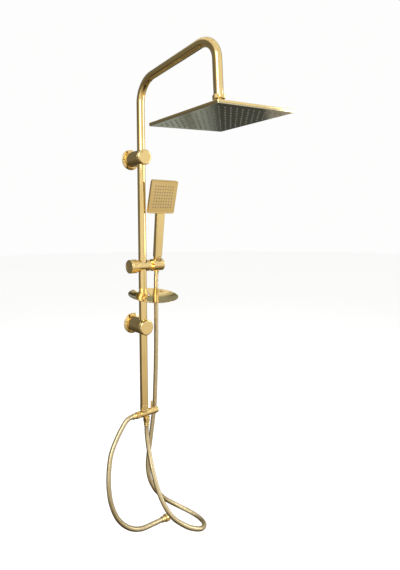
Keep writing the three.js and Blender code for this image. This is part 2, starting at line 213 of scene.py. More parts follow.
def smoothLine(points, perStretch=60):
    # Centripetal Catmull-Rom: each stretch is a cubic whose end slopes come from the neighbouring
    # points, weighted by the square roots of the distances between them.
    p = np.asarray(points, float)
    p = np.vstack([2 * p[0] - p[1], p, 2 * p[-1] - p[-2]])
    step = np.linalg.norm(np.diff(p, axis=0), axis=1)[:, None] ** 0.5
    a, b, c, d = p[:-3], p[1:-2], p[2:-1], p[3:]
    before, here, after = step[:-2], step[1:-1], step[2:]
    slopeIn = ((b - a) / before - (c - a) / (before + here) + (c - b) / here) * here
    slopeOut = ((c - b) / here - (d - b) / (here + after) + (d - c) / after) * here
    t = np.linspace(0, 1, perStretch, endpoint=False)[None, :, None]
    square = 3 * (c - b) - 2 * slopeIn - slopeOut
    cube = 2 * (b - c) + slopeIn + slopeOut
    curve = b[:, None] + slopeIn[:, None] * t + square[:, None] * t ** 2 + cube[:, None] * t ** 3
    return np.vstack([curve.reshape(-1, 3), p[-2:-1]])


def lengthAlong(line):
    return np.concatenate([[0], np.cumsum(np.linalg.norm(np.diff(line, axis=0), axis=1))])


def at(line, distances):
    # points of a line at given distances along it
    along = lengthAlong(line)
    return np.stack([np.interp(distances, along, line[:, k]) for k in range(3)], axis=1)


def tube(line, across, radius, sides=24):
    # Every station's ring: station + radius (normal cos a + other sin a). The normal is the fixed
    # direction across, made square to the line there. radius may differ at each point.
    ahead = np.gradient(line, axis=0)
    ahead /= np.linalg.norm(ahead, axis=1, keepdims=True)
    normal = np.asarray(across, float) - (ahead @ np.asarray(across, float))[:, None] * ahead
    normal /= np.linalg.norm(normal, axis=1, keepdims=True)
    other = np.cross(ahead, normal)
    angle = np.arange(sides) * 2 * np.pi / sides
    radius = np.broadcast_to(radius, (len(line), sides))[..., None]
    spoke = normal[:, None] * np.cos(angle)[None, :, None] + other[:, None] * np.sin(angle)[None, :, None]
    return line[:, None] + radius * spoke


def gridFaces(shape, wrapRows, first):
    # quads between neighbouring rows and columns; the columns always close round
    index = first + np.arange(np.prod(shape)).reshape(shape)
    index = np.concatenate([index, index[..., :1]], axis=-1)
    if wrapRows:
        index = np.concatenate([index, index[..., :1, :]], axis=-2)
    here, beside = index[..., :-1, :-1], index[..., :-1, 1:]
    across, below = index[..., 1:, 1:], index[..., 1:, :-1]
    return np.stack([here, beside, across, below], axis=-1).reshape(-1, 4)


def volumeOf(points, quads):
    a, b, c, d = [points[quads[:, k]] - points.mean(0) for k in range(4)]
    return np.sum(a * np.cross(b, c)) + np.sum(a * np.cross(c, d))


def meshFrom(name, grids, values=None):
    # Joins grids of points into one mesh. Points that coincide become one, so a ring drawn in to
    # nothing is a closed pole, and each grid's faces are turned outwards. Values, one number for
    # each point, go with a single grid.
    verts, quads, start = [], [], 0
    for grid in grids:
        points, wrapRows = grid if isinstance(grid, tuple) else (grid, False)
        flat = points.reshape(-1, 3)
        faces = gridFaces(points.shape[:-1], wrapRows, 0)
        _, firstOf, same = np.unique(np.round(flat, 5), axis=0, return_index=True, return_inverse=True)
        faces = same.reshape(-1)[faces]
        flat = flat[firstOf]
        if volumeOf(flat, faces) < 0:
            faces = faces[:, ::-1]
        verts.append(flat)
        quads.append(faces + start)
        start += len(flat)
    verts, quads = np.vstack(verts), np.vstack(quads)
    double = quads == np.roll(quads, -1, axis=1)
    count = double.sum(axis=1)
    pick = (np.argmax(double, axis=1)[:, None] + [1, 2, 3]) % 4
    triangles = np.take_along_axis(quads, pick, axis=1)[count == 1]
    mesh = bpy.data.meshes.new(name)
    mesh.from_pydata((verts * mm).tolist(), [], quads[count == 0].tolist() + triangles.tolist())
    if values is not None:
        label, numbers = values
        attribute = mesh.attributes.new(label, "FLOAT", "POINT")
        attribute.data.foreach_set("value", numbers.reshape(-1)[firstOf].astype(np.float32))
    mesh.shade_smooth()
    mesh.set_sharp_from_angle(angle=math.radians(38))
    mesh.update()
    return mesh


def piece(name, grids, material, body, stands=(), cuts=()):
    # a finished piece at the origin, riding on its body and standing for its CAD parts
    made = placed(name, meshFrom(name, grids))
    if cuts:
        cutAway(made, cuts)
    made.data.materials.clear()
    made.data.materials.append(material)
    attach(made, body)
    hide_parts(*stands)
    return made


def cutAway(made, cuts):
    # takes each cutting shape away from the piece, and keeps the result as its mesh
    tools = []
    for number, grid in enumerate(cuts):
        tool = placed(f"cutter{number}", meshFrom("cutter", [grid]))
        step = made.modifiers.new("cut", "BOOLEAN")
        step.operation, step.solver, step.object = "DIFFERENCE", "EXACT", tool
        tools.append(tool)
    result = made.evaluated_get(bpy.context.evaluated_depsgraph_get())
    made.data = bpy.data.meshes.new_from_object(result)
    made.modifiers.clear()
    made.data.shade_smooth()
    made.data.set_sharp_from_angle(angle=math.radians(30))
    for tool in tools:
        bpy.data.objects.remove(tool)


# ---- finishes ----


def nodeGroup(name, inputs, outputs):
    # an empty group with its sockets, as (name, kind, value)
    group = bpy.data.node_groups.new(name, "ShaderNodeTree")
    for label, kind, value in inputs:
        socket = group.interface.new_socket(name=label, in_out="INPUT", socket_type=kind)
        socket.default_value = value
    for label, kind in outputs:
        group.interface.new_socket(name=label, in_out="OUTPUT", socket_type=kind)
    return group, group.nodes.new("NodeGroupInput"), group.nodes.new("NodeGroupOutput")


def polishGroup():
    # uneven polish: broad clouds for colour and roughness, long ripples and hairlines for the bump
    group, source, result = nodeGroup(
        "polishMarks",
        [("cloudScale", "NodeSocketFloat", 18.0), ("hairScale", "NodeSocketFloat", 900.0),
         ("hairShare", "NodeSocketFloat", 0.3)],
        [("cloud", "NodeSocketFloat"), ("height", "NodeSocketFloat")],
    )
    links, nodes = group.links, group.nodes
    where = nodes.new("ShaderNodeTexCoord")
    cloud = nodes.new("ShaderNodeTexNoise")
    cloud.inputs["Detail"].default_value = 3
    hair = nodes.new("ShaderNodeTexNoise")
    hair.inputs["Detail"].default_value = 2
    stretch = nodes.new("ShaderNodeMapping")
    stretch.inputs["Scale"].default_value = (1, 1, 0.08)
    mix = nodes.new("ShaderNodeMix")
    links.new(where.outputs["Object"], cloud.inputs["Vector"])
    links.new(where.outputs["Object"], stretch.inputs["Vector"])
    links.new(stretch.outputs["Vector"], hair.inputs["Vector"])
    links.new(source.outputs["cloudScale"], cloud.inputs["Scale"])
    links.new(source.outputs["hairScale"], hair.inputs["Scale"])
    links.new(source.outputs["hairShare"], mix.inputs["Factor"])
    links.new(cloud.outputs["Fac"], mix.inputs["A"])
    links.new(hair.outputs["Fac"], mix.inputs["B"])
    links.new(cloud.outputs["Fac"], result.inputs["cloud"])
    links.new(mix.outputs["Result"], result.inputs["height"])
    return group


def edgeGroup():
    # where the surface turns sharply outwards, which is where plating rubs thin
    group, source, result = nodeGroup(
        "edgeWear", [("width", "NodeSocketFloat", 0.56), ("breakup", "NodeSocketFloat", 60.0)],
        [("mask", "NodeSocketFloat")],
    )
    links, nodes = group.links, group.nodes
    shape = nodes.new("ShaderNodeNewGeometry")
    where = nodes.new("ShaderNodeTexCoord")
    noise = nodes.new("ShaderNodeTexNoise")
    spread = nodes.new("ShaderNodeMapRange")
    spread.inputs["From Min"].default_value = 0.51
    times = nodes.new("ShaderNodeMath")
    times.operation = "MULTIPLY"
    links.new(where.outputs["Object"], noise.inputs["Vector"])
    links.new(source.outputs["breakup"], noise.inputs["Scale"])
    links.new(shape.outputs["Pointiness"], spread.inputs["Value"])
    links.new(source.outputs["width"], spread.inputs["From Max"])
    links.new(spread.outputs["Result"], times.inputs[0])
    links.new(noise.outputs["Fac"], times.inputs[1])
    links.new(times.outputs["Value"], result.inputs["mask"])
    return group


polishMarks, edgeWear = polishGroup(), edgeGroup()


def finish(name, look):
    # One finish: two close colours in clouds, paler worn edges, roughness that follows the clouds,
    # and a very shallow bump. A hose finish also darkens its spiral groove, by the groove depth kept on its
    # points: painted shade.
    material = bpy.data.materials.new(name)
    material.use_nodes = True
    nodes, links = material.node_tree.nodes, material.node_tree.links
    shader = nodes["Principled BSDF"]
    shader.inputs["Metallic"].default_value = look["metal"]
    shader.inputs["IOR"].default_value = 1.5
    marks = nodes.new("ShaderNodeGroup")
    marks.node_tree = polishMarks
    marks.inputs["cloudScale"].default_value = look["cloud"]
    marks.inputs["hairScale"].default_value = look["hair"]
    marks.inputs["hairShare"].default_value = look["hairShare"]
    wear = nodes.new("ShaderNodeGroup")
    wear.node_tree = edgeWear
    base = nodes.new("ShaderNodeMix")
    base.data_type = "RGBA"
    base.inputs[6].default_value = (*look["deep"], 1)
    base.inputs[7].default_value = (*look["bright"], 1)
    links.new(marks.outputs["cloud"], base.inputs[0])
    worn = nodes.new("ShaderNodeMix")
    worn.data_type = "RGBA"
    worn.inputs[7].default_value = (*look["worn"], 1)
    links.new(wear.outputs["mask"], worn.inputs[0])
    links.new(base.outputs[2], worn.inputs[6])
    colour = worn.outputs[2]
    # painted shade: the hose's spiral groove is darkened towards the groove colour
    if "groove" in look:
        rib = nodes.new("ShaderNodeAttribute")
        rib.attribute_name = "rib"
        dark = nodes.new("ShaderNodeMix")
        dark.data_type = "RGBA"
        dark.inputs[7].default_value = (*look["groove"], 1)
        links.new(rib.outputs["Fac"], dark.inputs[0])
        links.new(colour, dark.inputs[6])
        colour = dark.outputs[2]
    links.new(colour, shader.inputs["Base Color"])
    rough = nodes.new("ShaderNodeMapRange")
    rough.inputs["From Min"].default_value, rough.inputs["From Max"].default_value = 0.3, 0.7
    rough.inputs["To Min"].default_value, rough.inputs["To Max"].default_value = look["rough"]
    links.new(marks.outputs["cloud"], rough.inputs["Value"])
    links.new(rough.outputs["Result"], shader.inputs["Roughness"])
    bump = nodes.new("ShaderNodeBump")
    bump.inputs["Strength"].default_value = look["bump"]
    bump.inputs["Distance"].default_value = look["depth"] * mm
    links.new(marks.outputs["height"], bump.inputs["Height"])
    links.new(bump.outputs["Normal"], shader.inputs["Normal"])
    return material


looks = {
    "gold": {"metal": 1, "deep": (0.83, 0.60, 0.24), "bright": (0.91, 0.71, 0.34), "worn": (0.96, 0.82, 0.52),
             "rough": (0.06, 0.12), "cloud": 22, "hair": 700, "hairShare": 0.25, "bump": 0.14, "depth": 0.08},
    "faceGold": {"metal": 1, "deep": (0.60, 0.54, 0.36), "bright": (0.72, 0.66, 0.46),
                 "worn": (0.85, 0.76, 0.5), "rough": (0.05, 0.12), "cloud": 9, "hair": 500,
                 "hairShare": 0.2, "bump": 0.3, "depth": 0.2},
    # the hose's groove colour is painted shade for its spiral groove, not a colour of the metal
    "hose": {"metal": 1, "deep": (0.80, 0.66, 0.38), "bright": (0.90, 0.77, 0.50), "worn": (0.95, 0.87, 0.65),
             "groove": (0.46, 0.35, 0.17), "rough": (0.15, 0.24), "cloud": 60, "hair": 900, "hairShare": 0.5,
             "bump": 0.2, "depth": 0.08},
    "steel": {"metal": 1, "deep": (0.42, 0.36, 0.24), "bright": (0.56, 0.48, 0.32), "worn": (0.8, 0.74, 0.6),
              "rough": (0.22, 0.36), "cloud": 80, "hair": 900, "hairShare": 0.5, "bump": 0.3, "depth": 0.1},
    "plastic": {"metal": 0, "deep": (0.035, 0.032, 0.028), "bright": (0.06, 0.055, 0.048),
                "worn": (0.12, 0.11, 0.1), "rough": (0.35, 0.55), "cloud": 90, "hair": 700, "hairShare": 0.7,
                "bump": 0.4, "depth": 0.1},
    "silicone": {"metal": 0, "deep": (0.11, 0.11, 0.095), "bright": (0.17, 0.17, 0.15),
                 "worn": (0.22, 0.22, 0.19), "rough": (0.45, 0.65), "cloud": 120, "hair": 900,
                 "hairShare": 0.6, "bump": 0.4, "depth": 0.1},
}
finishes = {name: finish(name, look) for name, look in looks.items()}
gold, faceGold, silicone, plastic = [finishes[n] for n in ("gold", "faceGold", "silicone", "plastic")]
print("finishes made:", ", ".join(finishes))

# ---- hoses: the same routes as the solid ones, with a spirally wound metal jacket ----

hose = {
    "radius": 7.0,
    "ribPitch": 3.1,
    "ribDepth": 0.38,
    "perRib": 6,
    "sides": 24,
    "topShare": 0.08,     # how much of the handset's hose follows the holder
    "handsetAcross": (0.64, 0, 0.76),
    "inletAcross": (0, 1, 0),
}
handsetRoute = np.array([
    [.055, -.0598, .1678], [.055, -.0571, .146], [.056, -.055, .108], [.058, -.051, .042],
    [.06, -.047, -.024], [.061, -.042, -.123], [.06, -.038, -.205], [.058, -.035, -.272],
    [.052, -.032, -.325], [.044, -.029, -.385], [.038, -.027, -.428], [.036, -.025, -.472],
    [.043, -.027, -.516], [.062, -.027, -.554], [.089, -.019, -.588], [.121, -.012, -.622],
    [.162, -.018, -.655], [.191, -.046, -.672], [.201, -.085, -.676], [.188, -.127, -.668],
    [.152, -.153, -.653], [.109, -.153, -.632], [.074, -.145, -.606], [.047, -.14, -.578],
    [.027, -.131, -.543], [.014, -.116, -.5], [.008, -.097, -.449], [.008, -.076, -.395],
    [.008, -.065, -.35], [.008, -.0625, -.328], [.008, -.0625, -.3135],
])
inletRoute = np.array([
    [-.0445, -.0625, -.2725], [-.053, -.0625, -.2725], [-.066, -.0635, -.278], [-.086, -.0665, -.297],
    [-.106, -.070, -.322], [-.127, -.076, -.355], [-.139, -.083, -.402], [-.142, -.088, -.445],
    [-.135, -.090, -.494], [-.111, -.089, -.549], [-.072, -.086, -.591], [-.030, -.082, -.614],
    [.020, -.077, -.623], [.054, -.074, -.627],
])


def woundHose(name, line, fromShare, toShare, across):
    # A tube whose radius falls in a narrow groove once each turn of a spiral:
    # radius - depth (1 - |sin(pi (distance / pitch - angle / one turn))|) to the power 1.6.
    total = lengthAlong(line)[-1]
    first, last = fromShare * total, toShare * total
    stations = int((last - first) / hose["ribPitch"] * hose["perRib"])
    along = np.linspace(first, last, stations)
    centre = at(line, along)
    turnShare = np.arange(hose["sides"]) / hose["sides"]
    groove = (1 - np.abs(np.sin(np.pi * (along[:, None] / hose["ribPitch"] - turnShare)))) ** 1.6
    skin = tube(centre, across, hose["radius"] - hose["ribDepth"] * groove, hose["sides"])
    headPole, tailPole = centre[:1, None] + 0 * skin[:1], centre[-1:, None] + 0 * skin[:1]
    # the groove depth at each point, kept on the mesh as the mask for painted shade in the groove
    rib = np.concatenate([groove[:1], groove, groove[:1]])
    mesh = meshFrom(name, [np.concatenate([headPole, skin, tailPole])], ("rib", rib))
    mesh.materials.append(finishes["hose"])
    made = placed(name, mesh)
    return made, centre * mm


handsetLine = smoothLine(handsetRoute / mm)
inletLine = smoothLine(inletRoute / mm)
topShare = hose["topShare"]

hoseTop, topPath = woundHose("handsetHoseTop", handsetLine, 0, topShare, hose["handsetAcross"])
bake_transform(hoseTop)
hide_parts("handset_hose_top")

hoseMain, mainPath = woundHose("handsetHose", handsetLine, topShare, 1, hose["handsetAcross"])
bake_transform(hoseMain)
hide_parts("handset_hose")

hoseIn, inPath = woundHose("inletHose", inletLine, 0, 1, hose["inletAcross"])
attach(hoseIn, "column")
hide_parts("inlet_hose")

# ---- hose fittings ----

fitting = {
    "nutCorner": 11.6,     # hexagon's corner radius before it is turned down
    "nutTurned": 10.8,
    "nutBore": 8.3,
    "ferruleRadius": 8.7,
    "crimpDepth": 0.55,
    "tailCorner": 12.6,
    "tailTurned": 11.8,
    "threadPitch": 1.8,
    "threadDepth": 0.5,
}


def ferruleLine(low, high):
    # a sleeve crimped twice, and drawn in where the hose enters
    r, d = fitting["ferruleRadius"], fitting["crimpDepth"]
    step = (high - low) / 10
    return softened([
        (0, low), (r, low), (r, low + 2 * step), (r - d, low + 2.6 * step), (r - d, low + 3.6 * step),
        (r, low + 4.2 * step), (r, low + 5.4 * step), (r - d, low + 6 * step), (r - d, low + 7 * step),
        (r, low + 7.6 * step), (r, low + 9 * step), (r - 1, high), (0, high),
    ], 0.35)


def valveFitting(label, node, place):
    bore, top = fitting["nutBore"], fitting["nutTurned"]
    line = softened([
        (0, 7), (bore, 7), (bore, 0), (top - 1, 0), (top, 0.9), (top, 12.1), (top - 1, 13), (0, 13),
    ], 0.3)
    nut = turned(line, place, 96, hexagon(fitting["nutCorner"]))
    piece(f"{label}Nut", [nut], gold, "column", [f"{node}_nut"])
    sleeve = turned(ferruleLine(13.3, 27), place, 64)
    piece(f"{label}Ferrule", [sleeve], gold, "column", [f"{node}_ferrule"])


valveCentre = middle("diverter_knob") * [0, 1, 1]
valvePlace = shift(*valveCentre)
valveFitting("inletValve", "inlet_hose_valve", valvePlace @ shift(-17, 0, 0) @ turn("Y", -90))
valveFitting("handsetValve", "handset_hose_valve", valvePlace @ shift(8, 0, -13.5) @ turn("X", 180))

arrival = Vector(inletRoute[-1] - inletRoute[-2])
tailTurn = np.array(Vector((0, 0, 1)).rotation_difference(arrival).to_matrix().to_4x4())
tailPlace = shift(*(inletRoute[-1] / mm)) @ tailTurn


def threadedBore(radius, height, angle):
    # inside the open end a spiral ridge stands in from the bore, outside it is a hexagon
    ridge = 1 - 2 * np.abs(np.mod(height / fitting["threadPitch"] - angle / (2 * np.pi), 1) - 0.5)
    inside = (radius < 9.1) & (height > 22) & (height < 28.4)
    outer = hexagon(fitting["tailCorner"])(radius, height, angle)
    return np.where(inside, radius - fitting["threadDepth"] * ridge, outer)


boreRows = np.stack([np.full(46, 9.0), np.linspace(20, 28.4, 46)], axis=1)
tailRadius = fitting["tailTurned"]
tailOutside = softened([
    (9.6, 29), (tailRadius - 1, 29), (tailRadius, 28.1), (tailRadius, 15.2), (tailRadius - 1, 14.3),
    (0, 14.3),
], 0.3)
tailLine = np.vstack([[(0, 20)], boreRows, tailOutside])
tailNut = piece("inletTailNut", [turned(tailLine, tailPlace, 96, threadedBore)], gold, "column",
                ["inlet_hose_end_nut"])
washerLine = softened([(4.5, 20.3), (8.3, 20.3), (8.3, 22), (4.5, 22)], 0.3, closed=True)
washer = turned(washerLine, tailPlace, 48)
tailWasher = piece("inletTailWasher", [(washer, True)], plastic, "column")
tailFerrule = piece("inletTailFerrule", [turned(ferruleLine(0.3, 14), tailPlace, 64)], gold, "column",
                    ["inlet_hose_end_ferrule"])
print("hose fittings made")

# ---- wall brackets ----

bracket = {
    "flangeRadius": 32.5,
    "flangeDepth": 5,
    "flangeEdge": 2.2,
    "barrelRadius": 24,
    "barrelEnd": 80,
    "capFront": 85,
    "railHole": 12.8,
    "grooveAt": 74.5,
    "grooveDepth": 0.35,
}
railCentre = middle("riser_rail")
railPlace = shift(railCentre[0], railCentre[1], 0)


def cuttingRod(radius, place):
    return turned([(0, -40), (radius, -40), (radius, 40), (0, 40)], place, 96)


def wallBracket(side):
    height = middle(f"{side}_wall_flange")[2]
    place = shift(0, 0, height) @ turn("X", 90)
    plate, deep, lip = bracket["flangeRadius"], bracket["flangeDepth"], bracket["flangeEdge"]
    drum, groove, drumEnd = bracket["barrelRadius"], bracket["grooveAt"], bracket["barrelEnd"]
    cut = drum - bracket["grooveDepth"]
    flangeLine = softened([
        (0, 1.2), (24, 1.2), (24.8, 0), (plate, 0), (plate, lip), (drum + 1, deep), (0, deep),
    ], [0, 0.5, 0.5, 0.4, 1.1, 1.0, 0])
    piece(f"{side}Flange", [turned(flangeLine, place, 112)], gold, "column", [f"{side}_wall_flange"])
    barrelLine = softened([
        (0, 46), (10.3, 46), (10.3, 5.3), (drum, 5.3), (drum, 30), (drum, groove), (cut, groove + 0.3),
        (cut, groove + 0.9), (drum, groove + 1.2), (drum, drumEnd), (0, drumEnd),
    ], [0, 0.3, 0.3, 0.9, 0.1, 0.15, 0.1, 0.1, 0.15, 0.8, 0])
    hole = cuttingRod(bracket["railHole"], railPlace @ shift(0, 0, height))
    piece(f"{side}Barrel", [turned(barrelLine, place, 96)], gold, "column", [f"{side}_bracket_barrel"],
          cuts=[hole])
    front = bracket["capFront"]
    capLine = softened([
        (0, drumEnd + 0.3), (drum, drumEnd + 0.3), (drum, front - 2.2), (drum - 2.6, front), (14, front),
        (0, front - 0.2),
    ], [0, 0.4, 1.4, 1.6, 3, 0])
    piece(f"{side}Cap", [turned(capLine, place, 96)], gold, "column", [f"{side}_front_cap"])


wallBracket("lower")
wallBracket("upper")
print("wall brackets made")

# ---- riser rail and gooseneck arm ----

pipe = {
    "radius": 12.5,
    "bore": 11,
    "armHeight": 757,
    "armSlope": 0.082,
    "armReach": 340,
    "lowerBend": 70,
    "upperBend": 60,
    "dropLean": 0.046,
}
railLow, railHigh = [corner[2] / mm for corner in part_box("riser_rail")]
railLine = softened([
    (pipe["bore"], railLow), (pipe["radius"], railLow), (pipe["radius"], railHigh), (pipe["bore"], railHigh),
], 0.5, closed=True)
piece("riserRail", [(turned(railLine, railPlace, 96), True)], gold, "column", ["riser_rail"])


def gooseneckLine(footHeight, stemTop):
    # Heading against distance: straight up, a bend, the sloping arm, a bend and the drop tube.
    # The line is the running sum of its heading's sine outwards and cosine upwards.
    firstTurn = math.pi / 2 - pipe["armSlope"]
    secondTurn = math.pi / 2 + pipe["armSlope"] - pipe["dropLean"]
    firstCut = pipe["lowerBend"] * math.tan(firstTurn / 2)
    secondCut = pipe["upperBend"] * math.tan(secondTurn / 2)
    cornerHeight = pipe["armHeight"] + pipe["armReach"] * math.tan(pipe["armSlope"])
    lengths = np.array([
        pipe["armHeight"] - firstCut - footHeight,
        pipe["lowerBend"] * firstTurn,
        pipe["armReach"] / math.cos(pipe["armSlope"]) - firstCut - secondCut,
        pipe["upperBend"] * secondTurn,
        (cornerHeight - stemTop) / math.cos(pipe["dropLean"]) - secondCut,
    ])
    marks = np.concatenate([[0], np.cumsum(lengths)])
    headings = [0, 0, firstTurn, firstTurn, firstTurn + secondTurn, firstTurn + secondTurn]
    fine = np.linspace(0, marks[-1], 6001)
    heading = np.interp((fine[1:] + fine[:-1]) / 2, marks, headings)
    step = fine[1]
    out = -railCentre[1] + np.concatenate([[0], np.cumsum(np.sin(heading) * step)])
    up = footHeight + np.concatenate([[0], np.cumsum(np.cos(heading) * step)])
    pick = np.unique(np.concatenate([
        np.linspace(marks[0], marks[1], 6), np.linspace(marks[1], marks[2], 44),
        np.linspace(marks[2], marks[3], 8), np.linspace(marks[3], marks[4], 44),
        np.linspace(marks[4], marks[5], 5), marks[1:5] - 3, marks[1:5] + 3,
    ]))
    line = np.stack([0 * out, -out, up], axis=1)
    return np.stack([np.interp(pick, fine, line[:, k]) for k in range(3)], axis=1)


ballPlace = np.array(joints["head_turn"]["pos_m"]) / mm
armFoot, stemTop = railHigh + 0.3, ballPlace[2] + 28.3
armLine = gooseneckLine(armFoot, stemTop)
armSkin = tube(armLine, (1, 0, 0), pipe["radius"], 72)
armBore = tube(armLine, (1, 0, 0), pipe["bore"], 72)
piece("gooseneckArm", [(np.concatenate([armSkin, armBore[::-1]]), True)], gold, "column", ["gooseneck_arm"])
print("rail and gooseneck made")

# ---- ball joint ----

ball = {"radius": 13, "neck": 6, "socket": 15.3, "nutCorner": 17, "nutTurned": 16.2, "headLean": 0.065}
stemPlace = shift(*ballPlace) @ turn("X", -math.degrees(pipe["dropLean"]))
headPlace = shift(*ballPlace) @ turn("Y", -math.degrees(ball["headLean"]))

neckAngle = math.degrees(math.acos(ball["neck"] / ball["radius"]))
stemLine = np.vstack([
    arcPoints(ball["radius"], -90, neckAngle, 26),
    softened([(6, 13), (6, 18), (10, 18), (10, 45), (0, 45)], [0, 0.5, 0.4, 0.6, 0]),
])
piece("ballStem", [turned(stemLine, stemPlace, 72)], gold, "head_stem", ["ball_stem"])
nutTop = ball["nutTurned"]
nutLine = softened([
    (10.3, 18), (nutTop - 1.4, 18), (nutTop, 19.1), (nutTop, 26.9), (nutTop - 1.4, 28), (10.3, 28),
], 0.3, closed=True)
piece("stemNut", [(turned(nutLine, stemPlace, 96, hexagon(ball["nutCorner"])), True)], gold, "head_stem",
      ["stem_nut"])

bossLine = np.vstack([
    softened([(0, -23.2), (24, -23.2), (24, -21.4), (19, -19.2), (19, -0.5), (15.6, -0.5)],
             [0, 0.4, 0.8, 1.6, 0.5, 0]),
    arcPoints(ball["socket"], -3, -90, 16),
])
piece("headBoss", [turned(bossLine, headPlace, 72)], gold, "head", ["head_boss"])
ringOutside = softened([
    (19.3, 0.3), (19.3, -8), (21, -8), (21, 2), (20.6, 2.4), (20.6, 3.4), (21, 3.8), (21, 7),
    (17, 11.5), (11.3, 11.5),
], [0, 0.3, 0.5, 0.2, 0.2, 0.2, 0.2, 1.6, 1.4, 0])
ringLine = np.vstack([ringOutside, arcPoints(ball["socket"], 42, 1.5, 10)])
piece("retainingRing", [(turned(ringLine, headPlace, 72), True)], gold, "head", ["ball_retaining_ring"])
print("ball joint made")

# ---- square shower head ----

head = {
    "size": 250,
    "underside": -32,
    "plateTop": -29.3,
    "shellTop": -23.5,
    "corner": 3,
    "nozzles": 12,
    "pitch": 18.4,
    "nozzleReach": 1.9,
}
shellLine = softened([(30, -29), (0, -29), (0, head["shellTop"]), (30, head["shellTop"])], [0, 0.5, 2.2, 0])
shellGrid = slab(head["size"], head["size"], head["corner"], shellLine, headPlace)
piece("headShell", [shellGrid], gold, "head", ["head_back_shell"])
plateLine = softened([
    (30, head["underside"]), (0.6, head["underside"]), (0, head["underside"] + 0.6), (0, head["plateTop"]),
    (30, head["plateTop"]),
], [0, 0.3, 0.3, 0.3, 0])
plateGrid = slab(head["size"], head["size"], head["corner"], plateLine, headPlace)
piece("headFace", [plateGrid], faceGold, "head", ["head_face_plate"])


def nozzleField(across, down, pitch, line, sides, place):
    # the same little turned shape at every crossing of a grid
    angle = np.arange(sides) * 2 * np.pi / sides
    line = np.asarray(line, float)
    one = np.stack([
        line[:, :1] * np.cos(angle), line[:, :1] * np.sin(angle), line[:, 1:] + 0 * angle,
    ], axis=-1)
    columns = (np.arange(across) - (across - 1) / 2) * pitch
    rows = (np.arange(down) - (down - 1) / 2) * pitch
    x, y = np.meshgrid(columns, rows)
    centres = np.stack([x.ravel(), y.ravel(), 0 * x.ravel()], axis=1)
    return laid(centres[:, None, None] + one[None], place)


under, reach = head["underside"], head["nozzleReach"]
nozzleLine = [
    (0, under + 0.6), (1.9, under + 0.6), (1.8, under - 0.3), (1.4, under - reach), (0.75, under - reach),
    (0.6, under + 0.2), (0, under + 0.2),
]
nozzles = nozzleField(head["nozzles"], head["nozzles"], head["pitch"], nozzleLine, 10, headPlace)
piece("headNozzles", [nozzles], silicone, "head")
# a near-black ring round each nozzle: painted shade standing in for the shaded recess round it
nozzleShadeRingLine = [
    (0, under + 0.5), (2.9, under + 0.5), (2.9, under - 0.06), (2.2, under - 0.06), (1.9, under + 0.3),
    (0, under + 0.3),
]
nozzleShadeRings = nozzleField(head["nozzles"], head["nozzles"], head["pitch"], nozzleShadeRingLine, 12, headPlace)
piece("headNozzleShadeRings", [nozzleShadeRings], plastic, "head")
print("head made with", head["nozzles"] ** 2, "nozzles")

# ---- sliding holder ----

holder = {
    "bodyRadius": 17.5,
    "bodyHalf": 23,
    "bushHole": 14.8,
    "knobRadius": 21,
    "knobFrom": -49,
    "knobTo": -24.5,
    "pivotRadius": 12,
    "pivotTeeth": 36,
    "toothDepth": 0.7,
    "cradleRadius": 19,
    "cradleX": 55,
    "cradleTilt": 7,
}
sliderCentre = np.array([0, railCentre[1], middle("slider_knob")[2]])
alongX = shift(*sliderCentre) @ turn("Y", 90)
half, body = holder["bodyHalf"], holder["bodyRadius"]
cut = body - 0.3      # floor of the two turned grooves
bodyLine = softened([
    (0, -half), (body, -half), (body, -19.4), (cut, -19.1), (cut, -18.5), (body, -18.2), (body, 18.2),
    (cut, 18.5), (cut, 19.1), (body, 19.4), (body, half), (0, half),
], [0, 0.8, .1, .1, .1, .1, .1, .1, .1, .1, 0.8, 0])
bushHole = cuttingRod(holder["bushHole"], shift(*sliderCentre))
piece("sliderBody", [turned(bodyLine, alongX, 96)], gold, "slider", ["slider_body"], cuts=[bushHole])
knob, outer, inner = holder["knobRadius"], holder["knobFrom"], holder["knobTo"]
knobLine = softened([
    (0, outer + 0.9), (14.5, outer + 0.9), (15.6, outer), (knob, outer), (knob, outer + 5),
    (knob - 0.5, outer + 5.5), (knob - 0.5, outer + 6.5), (knob, outer + 7), (knob, inner), (0, inner),
], [0, 0.6, 0.6, 1.6, .2, .2, .2, .2, 1.2, 0])
piece("sliderKnob", [turned(knobLine, alongX, 96)], gold, "slider_knob", ["slider_knob"])


def pivotTeeth(radius, height, angle):
    # the wide neck is cut into fine click-stop teeth
    tooth = np.abs(np.mod(angle * holder["pivotTeeth"] / (2 * np.pi), 1) - 0.5) * 2
    return np.where(radius > holder["pivotRadius"] - 0.7, radius - holder["toothDepth"] * tooth, radius)


pivotLine = softened([
    (0, 15.5), (6, 15.5), (6, 23.3), (holder["pivotRadius"], 23.3), (holder["pivotRadius"], 32.7), (6, 32.7),
    (6, 39), (0, 39),
], 0.3)
piece("cradlePivot", [turned(pivotLine, alongX, 216, pivotTeeth)], gold, "slider", ["cradle_pivot"])
cradlePlace = shift(*(sliderCentre + [holder["cradleX"], 0, 0])) @ turn("X", holder["cradleTilt"])
cup = holder["cradleRadius"]
cradleLine = softened([
    (0, -22), (cup, -22), (cup, 18.5), (15.4, 18.5), (14.6, 17.7), (0, 17.7),
], [0, 1, 1.8, 0.4, 0.4, 0])
cone = turned([(0, -30), (10.9, -30), (14.9, 30), (0, 30)], cradlePlace, 96)
piece("cradle_cup", [turned(cradleLine, cradlePlace @ turn("Y", 90), 96)], gold, "cradle", ["cradle"],
      cuts=[cone])
print("sliding holder made")

# ---- handset ----

